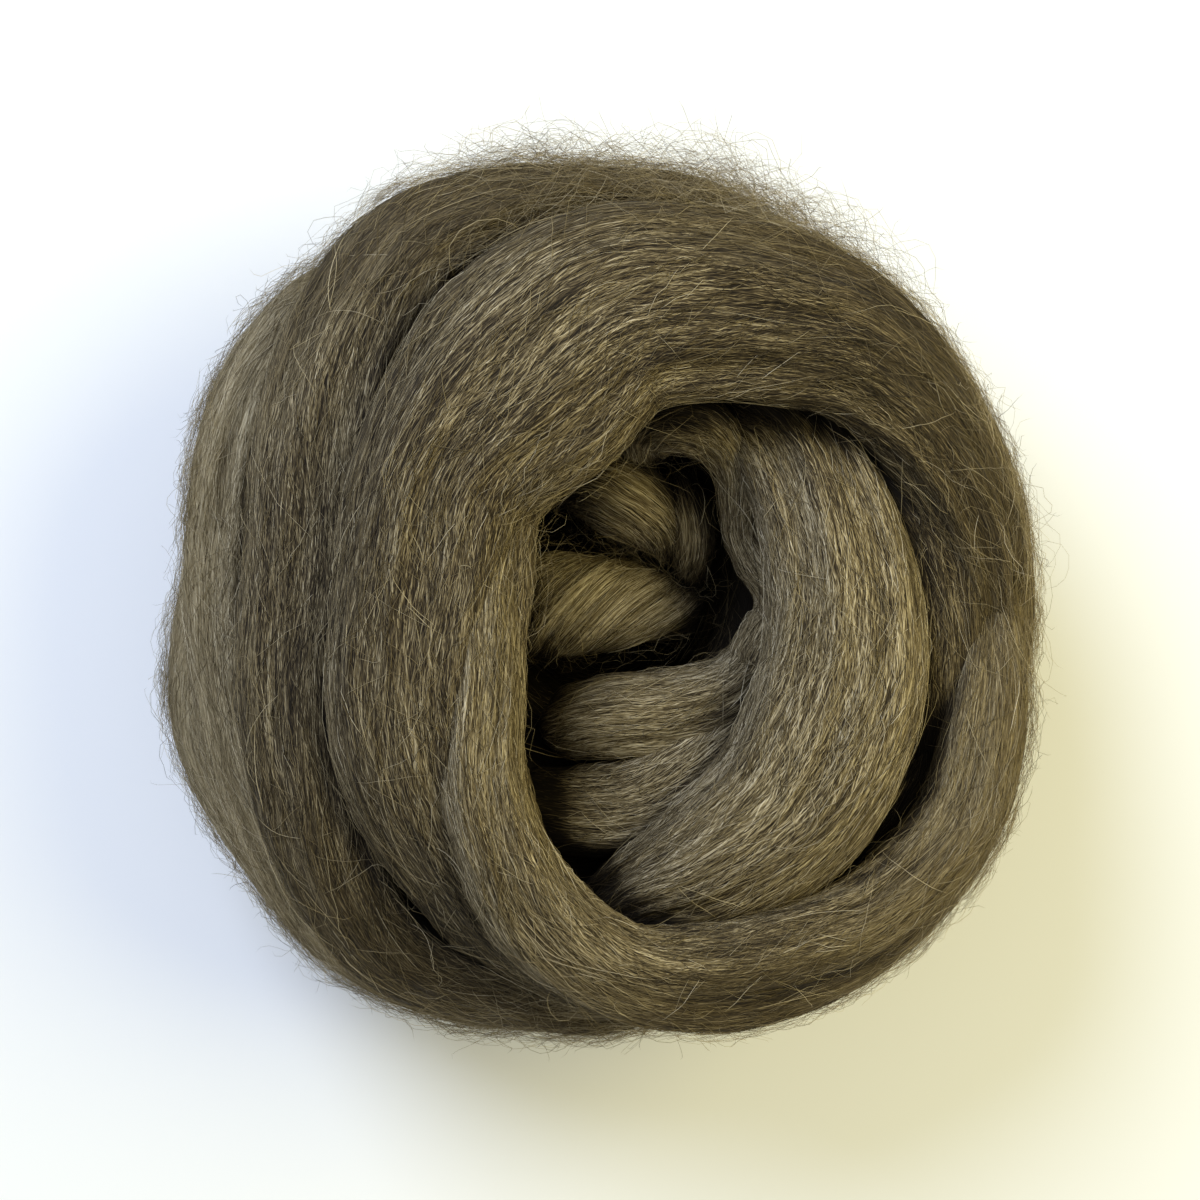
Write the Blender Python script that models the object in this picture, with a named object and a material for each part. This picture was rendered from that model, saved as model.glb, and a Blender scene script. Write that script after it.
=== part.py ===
"""A nest of combed cashgora top: one soft length of brown fibre wound round itself into a ball.

The turns are swept one by one along their real routes, overlapped as they press into each other,
and fused into a single closed solid with a small flat spot under it. Metres, +Z up, origin on the
surface that the ball rests on, below the middle of its outline.
"""

from collections import namedtuple
from math import cos, pi, radians, sin

import bmesh
import bpy
from mathutils import Matrix, Vector

MM = 0.001

# Driving sizes, in millimetres
SWEEP_STEP = 3.5  # spacing of the sections along a turn
SECTION_SIDES = 18
VOXEL = 1.8  # grid on which the turns are fused
SOLID_SHARE = 0.122  # share of the fused faces that the solid keeps

# Long shallow ridges of a turn: how many lie across it, how high they stand, how slowly they turn
RIDGE_COUNT = 5
RIDGE_HEIGHT = 0.06
RIDGE_TURNS_PER_MM = 0.0011

# A whole turn round the ball: a squashed, tipped ring. The tip raises the side that faces tip_to.
Ring = namedtuple(
    "Ring", "name mid_x mid_y radius_x radius_y height tip tip_to width depth lean_high lean_low"
)
RINGS = (
    Ring("core", 0, 0, 47, 47, 34, 0, 0, 54, 46, 90, 90),
    Ring("sole", 0, -1, 35, 35, 12, 0, 20, 36, 26, 180, 180),
    Ring("foot", 0, -1, 57, 58, 17, 3, 200, 32, 26, 124, 128),
    Ring("low", -1, -1, 67, 69, 30, 4, 20, 24, 22, 98, 102),
    Ring("side", 2, -1, 69, 69, 43, 5, 10, 26, 20, 74, 92),
    Ring("inner_low", 0, 0, 36, 36, 26, 1, 90, 40, 34, 90, 90),
    Ring("inner_high", 1, -1, 45, 46, 38, 5, 150, 30, 28, 20, 30),
    Ring("floor", 0, 0, 12, 12, 15, 1, 60, 30, 24, 0, 0),
)

# A stretch of top that shows from above, section by section: the middle of the section, its width
# and depth, and how far it leans outwards from facing straight up.
Row = namedtuple("Row", "x y z width depth lean")
STRETCHES = {
    "over": (
        Row(71, -10, 52, 18, 13, 68),
        Row(68.5, 11, 58, 23, 16, 60),
        Row(59, 31, 64, 28, 18, 50),
        Row(46, 44.5, 70, 32, 20, 38),
        Row(32, 50, 74, 35, 21, 28),
        Row(17, 52, 77, 37, 22, 20),
        Row(1, 50, 79, 40, 23, 14),
        Row(-14, 38, 80, 42.5, 24, 8),
        Row(-26.8, 21, 80, 34, 24, 6),
        Row(-30, 1, 79, 34, 24, 8),
        Row(-31.5, -18, 78, 34, 24, 8),
        Row(-29, -34, 74, 32, 22, 12),
        Row(-22, -49, 66, 27, 20, 26),
        Row(-14, -62, 55, 23, 17, 50),
        Row(0, -73, 44, 19, 15, 76),
    ),
    "bed": (
        Row(42, 38, 48, 18, 16, 10),
        Row(22, 49, 57, 28, 20, 10),
        Row(1, 50, 60, 31, 22, 10),
        Row(-21, 41, 62, 34, 24, 10),
        Row(-29, 20, 62, 28, 26, 10),
        Row(-31, 0, 62, 27, 26, 10),
        Row(-31, -20, 61, 27, 26, 10),
        Row(-26, -40, 56, 24, 22, 14),
        Row(-17, -56, 49, 22, 20, 24),
        Row(-2, -66, 43, 20, 18, 30),
        Row(16, -66, 41, 16, 14, 30),
    ),
    "lip": (
        Row(-17, 18, 76, 10, 9, 0),
        Row(-21.5, 4, 82, 15, 14, 0),
        Row(-22, -14, 83, 16, 15, 0),
        Row(-22, -30, 82, 16, 15, 2),
        Row(-18.5, -43, 80, 16, 15, 8),
        Row(-11.5, -56, 76, 18, 15, 22),
        Row(2, -66.5, 71, 19, 15, 34),
        Row(17, -69, 66, 23.5, 16, 42),
        Row(33.7, -66, 62, 27.5, 16, 50),
        Row(50.9, -57.4, 60, 25, 17, 54),
        Row(64.8, -41.2, 60, 19, 17, 54),
        Row(70, -23, 60, 20, 16, 56),
        Row(71, -6, 56, 17, 13, 62),
        Row(69, 9, 49, 13, 10, 64),
    ),
    "right": (
        Row(34, 34, 58, 15, 12, 10),
        Row(49, 28, 61, 18, 14, 20),
        Row(60, 14, 61, 19, 14, 24),
        Row(63.5, -1, 60, 17, 14, 26),
        Row(64, -16, 58.5, 16.5, 13, 26),
        Row(62, -28, 53, 15, 12, 24),
        Row(60, -37, 43, 12, 10, 20),
    ),
    "bright": (
        Row(23, 35, 58, 13, 12, 0),
        Row(32.5, 29, 64, 20, 15, 0),
        Row(40, 14, 68, 25, 18, 0),
        Row(43.5, -2, 69, 28, 19, 0),
        Row(42.3, -18.3, 69, 31, 19, 0),
        Row(34.2, -36.4, 68, 30, 18, 2),
        Row(19.3, -48.4, 65, 25.5, 17, 6),
        Row(5.5, -54.5, 58.5, 15.5, 13, 8),
        Row(-4, -61, 47, 9, 9, 0),
    ),
    "inner_edge": (
        Row(7, 25, 50, 8, 8, 0),
        Row(8.8, 30, 58, 10, 10, 0),
        Row(14, 31.5, 63, 11, 12, 0),
        Row(20, 29.5, 63, 11, 12, 0),
        Row(24.3, 24, 62, 9, 12, -6),
        Row(25.4, 17.7, 60, 8, 12, -10),
        Row(26.3, 12.2, 58, 8, 12, -14),
        Row(29, 7.2, 57, 9, 13, -18),
        Row(32.8, 1.7, 57, 10, 13, -16),
        Row(34, -3.5, 57, 13, 14, -12),
        Row(31, -10, 56, 14, 14, -6),
        Row(26, -17, 55, 13, 13, 0),
    ),
    "upper_lobe": (
        Row(31, -10, 53, 12, 11, 0),
        Row(24, -18, 56, 15, 14, 0),
        Row(13, -21.5, 57, 16, 15, 0),
        Row(1, -22.5, 55, 15, 15, 0),
        Row(-10, -25, 46, 12, 11, 0),
    ),
    "lower_lobe": (
        Row(30, -18, 53, 12, 11, 0),
        Row(19, -30, 57, 17, 15, 0),
        Row(7, -38, 56, 18, 15, 0),
        Row(-5, -40, 52, 16.5, 14, 0),
        Row(-17, -39, 44, 14, 12, 0),
    ),
    "fold_left": (
        Row(-21, -2, 38, 16, 13, 0),
        Row(-14, -2, 45, 19, 15, 0),
        Row(-5, -1.5, 49, 19, 17, 0),
        Row(5, -1.2, 48.5, 15.5, 16, 0),
        Row(12.5, -2, 43.5, 11.5, 12, 0),
        Row(16, -3, 37, 8, 9, 0),
    ),
    "fold_top": (
        Row(-6, 21, 38, 11, 10, 0),
        Row(-1, 20.5, 47, 13.5, 13, 0),
        Row(4.5, 18, 53, 15.5, 15, 0),
        Row(8.8, 14, 49.5, 12.5, 13.5, 0),
        Row(11, 8.8, 39, 9, 10, 0),
    ),
    "fold_right": (
        Row(13.5, 24, 43, 5, 7, 0),
        Row(15.6, 18.3, 50.5, 7, 9, 0),
        Row(17, 12.5, 51.5, 8, 10, 0),
        Row(16.6, 7, 46, 7.5, 9, 0),
        Row(15.2, 3, 36, 6, 7, 0),
    ),
    "second": (
        Row(33, 63, 42, 15, 13, 76),
        Row(19, 70.5, 48, 19, 15, 72),
        Row(0, 72, 53, 20, 16, 66),
        Row(-19, 70, 58, 24, 17, 56),
        Row(-36, 62, 61, 28, 18, 46),
        Row(-47, 44, 63, 28, 18, 40),
        Row(-52, 25, 64, 27, 18, 36),
        Row(-54, 5, 64, 26, 18, 34),
        Row(-56, -15, 65, 24, 18, 34),
        Row(-54, -33, 64, 23, 18, 38),
        Row(-49, -51, 60, 23, 17, 50),
        Row(-39, -65, 53, 23, 16, 64),
        Row(-24, -72, 44, 23, 16, 76),
        Row(-6, -76, 37, 21, 16, 88),
        Row(13, -76, 32, 18, 14, 92),
    ),
    "third": (
        Row(-43, 64, 39, 12, 12, 74),
        Row(-58, 51, 43, 18, 15, 70),
        Row(-67.5, 32, 47, 19, 16, 66),
        Row(-70, 12, 49, 19, 16, 64),
        Row(-70, -4, 50, 19, 16, 62),
        Row(-67, -21, 50, 19, 16, 62),
        Row(-63, -37, 48, 19, 16, 66),
        Row(-56, -52, 44, 20, 16, 74),
        Row(-47, -64, 39, 21, 17, 84),
        Row(-35, -72, 34, 20, 16, 90),
        Row(-20, -77, 30, 18, 14, 90),
        Row(-2, -76, 26, 14, 11, 90),
    ),
    "lowest": (
        Row(-73, 15, 37, 13, 11, 86),
        Row(-75, -2, 35, 18, 15, 88),
        Row(-76, -20, 33, 20, 16, 90),
        Row(-73, -32, 32, 20, 16, 92),
        Row(-66, -45, 31, 19, 16, 94),
        Row(-57, -57, 29, 19, 16, 96),
        Row(-47, -67, 26, 19, 17, 98),
        Row(-34, -73, 23, 17, 14, 100),
    ),
}


def smooth_between(before, here, after, beyond, t):
    """The value at t from here to after, on a curve that keeps its direction through both."""
    bend = 2 * before - 5 * here + 4 * after - beyond
    twist = -before + 3 * here - 3 * after + beyond
    return 0.5 * (2 * here + (after - before) * t + bend * t * t + twist * t**3)


def rows_of_ring(ring, count=16):
    """The sections of a whole turn."""
    rows = []
    for k in range(count):
        angle = 2 * pi * k / count
        high = 0.5 + 0.5 * cos(angle - radians(ring.tip_to))
        rows.append(
            Row(
                ring.mid_x + ring.radius_x * cos(angle),
                ring.mid_y + ring.radius_y * sin(angle),
                ring.height + ring.tip * (2 * high - 1),
                ring.width,
                ring.depth,
                ring.lean_low + (ring.lean_high - ring.lean_low) * high,
            )
        )
    return rows


def sections(rows, closed):
    """Rows read off at even steps along a smooth curve through the given ones."""
    spans = len(rows) if closed else len(rows) - 1
    found = []
    for k in range(spans):
        if closed:
            four = [rows[(k + i) % len(rows)] for i in (-1, 0, 1, 2)]
        else:
            four = [rows[min(max(k + i, 0), len(rows) - 1)] for i in (-1, 0, 1, 2)]
        length = (Vector(four[2][:3]) - Vector(four[1][:3])).length
        steps = max(2, round(length / SWEEP_STEP))
        for i in range(steps):
            found.append(Row(*(smooth_between(*column, i / steps) for column in zip(*four))))
    if not closed:
        found.append(rows[-1])
    return found


def outline(row, across, facing, travelled, swell):
    """The points of one section, with its shallow ridges."""
    points = []
    middle = Vector(row[:3])
    for k in range(SECTION_SIDES):
        angle = 2 * pi * k / SECTION_SIDES
        phase = 2 * pi * RIDGE_TURNS_PER_MM * travelled
        ridge = 1 + RIDGE_HEIGHT * cos(RIDGE_COUNT * angle + phase * RIDGE_COUNT)
        side = across * (row.width / 2 * cos(angle))
        out = facing * (row.depth / 2 * sin(angle))
        points.append((middle + (side + out) * ridge * swell) * MM)
    return points


def add_turn(mesh, rows, closed):
    """Sweeps one turn into the mesh as a closed tube."""
    found = sections(rows, closed)
    count = len(found)
    middles = [Vector(row[:3]) for row in found]
    travelled = 0.0
    rings = []
    for k, row in enumerate(found):
        if closed:
            forward = middles[(k + 1) % count] - middles[k - 1]
        else:
            forward = middles[min(k + 1, count - 1)] - middles[max(k - 1, 0)]
        forward.normalize()
        outwards = Vector((row.x, row.y, 0)).normalized()
        lean = radians(row.lean)
        facing = Vector((0, 0, cos(lean))) + outwards * sin(lean)
        facing = (facing - forward * facing.dot(forward)).normalized()
        across = forward.cross(facing)
        from_end = min(k, count - 1 - k) * SWEEP_STEP / (row.depth / 2)
        swell = 1.0 if closed or from_end >= 1 else max(0.25, (1 - (1 - from_end) ** 2) ** 0.5)
        points = outline(row, across, facing, travelled, swell)
        rings.append([mesh.verts.new(point) for point in points])
        travelled += SWEEP_STEP
    pairs = list(zip(rings, rings[1:]))
    if closed:
        pairs.append((rings[-1], rings[0]))
    for near, far in pairs:
        for i in range(SECTION_SIDES):
            j = (i + 1) % SECTION_SIDES
            mesh.faces.new((near[i], near[j], far[j], far[i]))
    if not closed:
        mesh.faces.new(rings[0][::-1])
        mesh.faces.new(rings[-1])


def brown_fibre():
    """Undyed brown fibre, soft and nearly matt."""
    material = bpy.data.materials.new("brown_fibre")
    material.use_nodes = True
    shader = material.node_tree.nodes["Principled BSDF"]
    shader.inputs["Base Color"].default_value = (0.135, 0.100, 0.064, 1)
    shader.inputs["Roughness"].default_value = 0.8
    shader.inputs["Metallic"].default_value = 0.0
    return material


def wound_top():
    """The ball: every turn swept, fused, thinned out and cut flat underneath."""
    mesh = bmesh.new()
    for ring in RINGS:
        add_turn(mesh, rows_of_ring(ring), closed=True)
    for rows in STRETCHES.values():
        add_turn(mesh, rows, closed=False)
    bmesh.ops.recalc_face_normals(mesh, faces=mesh.faces)
    data = bpy.data.meshes.new("wound_top")
    mesh.to_mesh(data)
    mesh.free()
    data.materials.append(brown_fibre())
    ball = bpy.data.objects.new("wound_top", data)
    bpy.context.scene.collection.objects.link(ball)

    fuse = ball.modifiers.new("fuse", "REMESH")
    fuse.mode = "VOXEL"
    fuse.voxel_size = VOXEL * MM
    fuse.use_smooth_shade = True
    settle = ball.modifiers.new("settle", "SMOOTH")
    settle.factor = 0.5
    settle.iterations = 2
    thin = ball.modifiers.new("thin", "DECIMATE")
    thin.ratio = SOLID_SHARE
    centre_on_outline(ball)
    flatten = ball.modifiers.new("flatten", "BOOLEAN")
    flatten.operation = "DIFFERENCE"
    flatten.object = floor_cutter()
    return ball


def centre_on_outline(ball):
    """Makes the fused shape the ball's own mesh, and moves it so that its outline is centred."""
    graph = bpy.context.evaluated_depsgraph_get()
    fused = bpy.data.meshes.new_from_object(ball.evaluated_get(graph))
    xs = [vertex.co.x for vertex in fused.vertices]
    ys = [vertex.co.y for vertex in fused.vertices]
    fused.transform(Matrix.Translation((-(min(xs) + max(xs)) / 2, -(min(ys) + max(ys)) / 2, 0)))
    ball.modifiers.clear()
    ball.data = fused


def floor_cutter():
    """A block whose top is the surface that the ball rests on."""
    half, deep = 0.12, 0.04
    mesh = bmesh.new()
    bmesh.ops.create_cube(mesh, size=1)
    bmesh.ops.scale(mesh, vec=(2 * half, 2 * half, deep), verts=mesh.verts)
    bmesh.ops.translate(mesh, vec=(0, 0, -deep / 2), verts=mesh.verts)
    data = bpy.data.meshes.new("floor_cutter")
    mesh.to_mesh(data)
    mesh.free()
    cutter = bpy.data.objects.new("floor_cutter", data)
    cutter.hide_render = True
    cutter.display_type = "WIRE"
    bpy.context.scene.collection.objects.link(cutter)
    return cutter


def main():
    for old in list(bpy.data.objects):
        bpy.data.objects.remove(old)
    wound_top()


main()
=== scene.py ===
"""Cashgora top, wound into a nest: the look of the fibre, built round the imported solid.

Each turn of the top is swept again along its route with fine combed ridges, and then covered with
thousands of separate fibres: laid ones that follow the turn, stray ones that cross from turn to turn,
and loose ones that stand off the surface as a soft halo. Tables are in millimetres, on the same
routes as the solid.
"""

from collections import namedtuple
from functools import partial
from math import pi, radians

import bpy
import numpy as np
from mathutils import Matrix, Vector
from mathutils.bvhtree import BVHTree


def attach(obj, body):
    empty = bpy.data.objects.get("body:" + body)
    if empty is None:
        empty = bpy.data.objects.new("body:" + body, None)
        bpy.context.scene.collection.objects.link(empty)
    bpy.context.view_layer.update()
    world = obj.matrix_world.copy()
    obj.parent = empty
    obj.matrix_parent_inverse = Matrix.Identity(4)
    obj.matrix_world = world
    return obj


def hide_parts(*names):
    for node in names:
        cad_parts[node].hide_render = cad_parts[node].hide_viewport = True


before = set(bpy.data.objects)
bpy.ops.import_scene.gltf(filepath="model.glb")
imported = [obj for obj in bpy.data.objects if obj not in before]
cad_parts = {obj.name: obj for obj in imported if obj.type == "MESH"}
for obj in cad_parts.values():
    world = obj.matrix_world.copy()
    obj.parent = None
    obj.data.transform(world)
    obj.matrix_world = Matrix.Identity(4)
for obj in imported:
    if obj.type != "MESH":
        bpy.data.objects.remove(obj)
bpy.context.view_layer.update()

NODE = "wound_top"
MM = 0.001
SKIN_LOWEST, FIBRE_LOWEST, HAIR_LOWEST = 0.02, 0.1, 0.15  # heights above the table
OUTLINE_MIDDLE = (-1.144, -1.686)  # the middle of the routes' outline, which the solid has at its origin
SECTION_STEP = 2.0  # spacing of the sections that a turn is read off at
RELIEF_COLUMNS = 256

Ring = namedtuple(
    "Ring", "name mid_x mid_y radius_x radius_y height tip tip_to width depth lean_high lean_low"
)
RINGS = (
    Ring("sole", 0, -1, 35, 35, 12, 0, 20, 36, 26, 180, 180),
    Ring("foot", 0, -1, 57, 58, 17, 3, 200, 32, 26, 124, 128),
    Ring("low", -1, -1, 67, 69, 30, 4, 20, 24, 22, 98, 102),
    Ring("side", 2, -1, 69, 69, 43, 5, 10, 26, 20, 74, 92),
    Ring("inner_low", 0, 0, 36, 36, 26, 1, 90, 40, 34, 90, 90),
    Ring("inner_high", 1, -1, 45, 46, 38, 5, 150, 30, 28, 20, 30),
    Ring("floor", 0, 0, 12, 12, 15, 1, 60, 30, 24, 0, 0),
)
Row = namedtuple("Row", "x y z width depth lean")
STRETCHES = {
    "over": (
        Row(71, -10, 52, 18, 13, 68),
        Row(68.5, 11, 58, 23, 16, 60),
        Row(59, 31, 64, 28, 18, 50),
        Row(46, 44.5, 70, 32, 20, 38),
        Row(32, 50, 74, 35, 21, 28),
        Row(17, 52, 77, 37, 22, 20),
        Row(1, 50, 79, 40, 23, 14),
        Row(-14, 38, 80, 42.5, 24, 8),
        Row(-26.8, 21, 80, 34, 24, 6),
        Row(-30, 1, 79, 34, 24, 8),
        Row(-31.5, -18, 78, 34, 24, 8),
        Row(-29, -34, 74, 32, 22, 12),
        Row(-22, -49, 66, 27, 20, 26),
        Row(-14, -62, 55, 23, 17, 50),
        Row(0, -73, 44, 19, 15, 76),
    ),
    "bed": (
        Row(42, 38, 48, 18, 16, 10),
        Row(22, 49, 57, 28, 20, 10),
        Row(1, 50, 60, 31, 22, 10),
        Row(-21, 41, 62, 34, 24, 10),
        Row(-29, 20, 62, 28, 26, 10),
        Row(-31, 0, 62, 27, 26, 10),
        Row(-31, -20, 61, 27, 26, 10),
        Row(-26, -40, 56, 24, 22, 14),
        Row(-17, -56, 49, 22, 20, 24),
        Row(-2, -66, 43, 20, 18, 30),
        Row(16, -66, 41, 16, 14, 30),
    ),
    "lip": (
        Row(-17, 18, 76, 10, 9, 0),
        Row(-21.5, 4, 82, 15, 14, 0),
        Row(-22, -14, 83, 16, 15, 0),
        Row(-22, -30, 82, 16, 15, 2),
        Row(-18.5, -43, 80, 16, 15, 8),
        Row(-11.5, -56, 76, 18, 15, 22),
        Row(2, -66.5, 71, 19, 15, 34),
        Row(17, -69, 66, 23.5, 16, 42),
        Row(33.7, -66, 62, 27.5, 16, 50),
        Row(50.9, -57.4, 60, 25, 17, 54),
        Row(64.8, -41.2, 60, 19, 17, 54),
        Row(70, -23, 60, 20, 16, 56),
        Row(71, -6, 56, 17, 13, 62),
        Row(69, 9, 49, 13, 10, 64),
    ),
    "right": (
        Row(34, 34, 58, 15, 12, 10),
        Row(49, 28, 61, 18, 14, 20),
        Row(60, 14, 61, 19, 14, 24),
        Row(63.5, -1, 60, 17, 14, 26),
        Row(64, -16, 58.5, 16.5, 13, 26),
        Row(62, -28, 53, 15, 12, 24),
        Row(60, -37, 43, 12, 10, 20),
    ),
    "bright": (
        Row(23, 35, 58, 13, 12, 0),
        Row(32.5, 29, 64, 20, 15, 0),
        Row(40, 14, 68, 25, 18, 0),
        Row(43.5, -2, 69, 28, 19, 0),
        Row(42.3, -18.3, 69, 31, 19, 0),
        Row(34.2, -36.4, 68, 30, 18, 2),
        Row(19.3, -48.4, 65, 25.5, 17, 6),
        Row(5.5, -54.5, 58.5, 15.5, 13, 8),
        Row(-4, -61, 47, 9, 9, 0),
    ),
    "inner_edge": (
        Row(7, 25, 50, 8, 8, 0),
        Row(8.8, 30, 58, 10, 10, 0),
        Row(14, 31.5, 63, 11, 12, 0),
        Row(20, 29.5, 63, 11, 12, 0),
        Row(24.3, 24, 62, 9, 12, -6),
        Row(25.4, 17.7, 60, 8, 12, -10),
        Row(26.3, 12.2, 58, 8, 12, -14),
        Row(29, 7.2, 57, 9, 13, -18),
        Row(32.8, 1.7, 57, 10, 13, -16),
        Row(34, -3.5, 57, 13, 14, -12),
        Row(31, -10, 56, 14, 14, -6),
        Row(26, -17, 55, 13, 13, 0),
    ),
    "upper_lobe": (
        Row(31, -10, 53, 12, 11, 0),
        Row(24, -18, 56, 15, 14, 0),
        Row(13, -21.5, 57, 16, 15, 0),
        Row(1, -22.5, 55, 15, 15, 0),
        Row(-10, -25, 46, 12, 11, 0),
    ),
    "lower_lobe": (
        Row(30, -18, 53, 12, 11, 0),
        Row(19, -30, 57, 17, 15, 0),
        Row(7, -38, 56, 18, 15, 0),
        Row(-5, -40, 52, 16.5, 14, 0),
        Row(-17, -39, 44, 14, 12, 0),
    ),
    "fold_left": (
        Row(-21, -2, 38, 16, 13, 0),
        Row(-14, -2, 45, 19, 15, 0),
        Row(-5, -1.5, 49, 19, 17, 0),
        Row(5, -1.2, 48.5, 15.5, 16, 0),
        Row(12.5, -2, 43.5, 11.5, 12, 0),
        Row(16, -3, 37, 8, 9, 0),
    ),
    "fold_top": (
        Row(-6, 21, 38, 11, 10, 0),
        Row(-1, 20.5, 47, 13.5, 13, 0),
        Row(4.5, 18, 53, 15.5, 15, 0),
        Row(8.8, 14, 49.5, 12.5, 13.5, 0),
        Row(11, 8.8, 39, 9, 10, 0),
    ),
    "fold_right": (
        Row(13.5, 24, 43, 5, 7, 0),
        Row(15.6, 18.3, 50.5, 7, 9, 0),
        Row(17, 12.5, 51.5, 8, 10, 0),
        Row(16.6, 7, 46, 7.5, 9, 0),
        Row(15.2, 3, 36, 6, 7, 0),
    ),
    "second": (
        Row(33, 63, 42, 15, 13, 76),
        Row(19, 70.5, 48, 19, 15, 72),
        Row(0, 72, 53, 20, 16, 66),
        Row(-19, 70, 58, 24, 17, 56),
        Row(-36, 62, 61, 28, 18, 46),
        Row(-47, 44, 63, 28, 18, 40),
        Row(-52, 25, 64, 27, 18, 36),
        Row(-54, 5, 64, 26, 18, 34),
        Row(-56, -15, 65, 24, 18, 34),
        Row(-54, -33, 64, 23, 18, 38),
        Row(-49, -51, 60, 23, 17, 50),
        Row(-39, -65, 53, 23, 16, 64),
        Row(-24, -72, 44, 23, 16, 76),
        Row(-6, -76, 37, 21, 16, 88),
        Row(13, -76, 32, 18, 14, 92),
    ),
    "third": (
        Row(-43, 64, 39, 12, 12, 74),
        Row(-58, 51, 43, 18, 15, 70),
        Row(-67.5, 32, 47, 19, 16, 66),
        Row(-70, 12, 49, 19, 16, 64),
        Row(-70, -4, 50, 19, 16, 62),
        Row(-67, -21, 50, 19, 16, 62),
        Row(-63, -37, 48, 19, 16, 66),
        Row(-56, -52, 44, 20, 16, 74),
        Row(-47, -64, 39, 21, 17, 84),
        Row(-35, -72, 34, 20, 16, 90),
        Row(-20, -77, 30, 18, 14, 90),
        Row(-2, -76, 26, 14, 11, 90),
    ),
    "lowest": (
        Row(-73, 15, 37, 13, 11, 86),
        Row(-75, -2, 35, 18, 15, 88),
        Row(-76, -20, 33, 20, 16, 90),
        Row(-73, -32, 32, 20, 16, 92),
        Row(-66, -45, 31, 19, 16, 94),
        Row(-57, -57, 29, 19, 16, 96),
        Row(-47, -67, 26, 19, 17, 98),
        Row(-34, -73, 23, 17, 14, 100),
    ),
}

# How each turn is dressed: which piece it joins, the spacing of its faces in millimetres, how thickly
# it is covered with short fibres, how coarse they are, its tone from dark to light, and how far
# its fibres wind round it in radians for each millimetre
Dress = namedtuple("Dress", "piece pitch cover coarse tone winding")
DRESS = {
    "sole": Dress("underside", 2.6, 0.25, 1.8, -0.02, 0.0),
    "foot": Dress("underside", 1.6, 0.35, 1.7, 0.0, 0.0),
    "low": Dress("outer_turns", 1.3, 0.45, 1.5, 0.0, 0.0),
    "side": Dress("outer_turns", 1.3, 0.5, 1.4, 0.0, 0.0),
    # The hidden turns are toned dark as painted shade: they show only through gaps in the hollow
    "inner_low": Dress("hidden_turns", 3.0, 0.15, 1.6, -0.35, 0.0),
    "inner_high": Dress("hidden_turns", 1.7, 0.55, 1.0, -0.22, 0.0),
    "floor": Dress("hidden_turns", 2.4, 0.3, 1.4, -0.35, 0.0),
    "over": Dress("outer_turns", 0.95, 1.0, 1.0, -0.12, 0.0015),
    "bed": Dress("hidden_turns", 1.8, 0.45, 1.0, -0.22, 0.0),
    "lip": Dress("outer_turns", 0.95, 1.0, 1.0, 0.0, -0.002),
    "right": Dress("inner_turns", 0.9, 1.0, 1.0, -0.18, 0.002),
    "bright": Dress("inner_turns", 0.85, 1.1, 1.0, 0.04, -0.003),
    "inner_edge": Dress("inner_turns", 0.8, 1.2, 0.9, 0.02, 0.004),
    "upper_lobe": Dress("inner_turns", 0.8, 1.2, 0.9, 0.06, 0.004),
    "lower_lobe": Dress("inner_turns", 0.8, 1.2, 0.9, 0.03, -0.004),
    # The fold at the left of the hollow is toned lighter: painted light in the dim hollow
    "fold_left": Dress("inner_turns", 0.8, 1.3, 0.9, 0.15, 0.15),
    "fold_top": Dress("inner_turns", 0.8, 1.3, 0.9, 0.06, 0.01),
    "fold_right": Dress("inner_turns", 0.8, 1.3, 0.9, 0.0, 0.0),
    "second": Dress("outer_turns", 1.0, 0.95, 1.0, -0.14, 0.001),
    "third": Dress("outer_turns", 1.1, 0.9, 1.0, 0.13, 0.0),
    "lowest": Dress("outer_turns", 1.2, 0.85, 1.0, 0.16, 0.0),
}
# How many half depths an end takes to thin out, where it shows on the sides of the ball
TUCKED_ENDS = {"third": 3.0, "lowest": 3.0, "second": 2.0}
THINNEST_END = 0.12

# Ridges and stretches of tone along a turn: millimetres across, millimetres long, height or share
Streak = namedtuple("Streak", "across along share")
RIDGES = (Streak(13, 70, 0.36), Streak(4.5, 40, 0.13), Streak(2.2, 22, 0.07))
TONES = (Streak(9, 60, 0.8), Streak(3.6, 40, 0.35))
SWAY_LENGTH, SWAY_ANGLE = 210, 0.14  # how the fibres of a turn sway about its middle line
FULL_RELIEF_GIRTH = 60  # thinner turns have lower ridges
FULL_RELIEF_DEPTH = 5


def eased(values, low, high):
    """0 below the low value, 1 above the high one, and a smooth step between them."""
    part = np.clip((values - low) / (high - low), 0, 1)
    return part * part * (3 - 2 * part)


def unit(vectors):
    return vectors / np.maximum(np.linalg.norm(vectors, axis=-1, keepdims=True), 1e-12)


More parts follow.
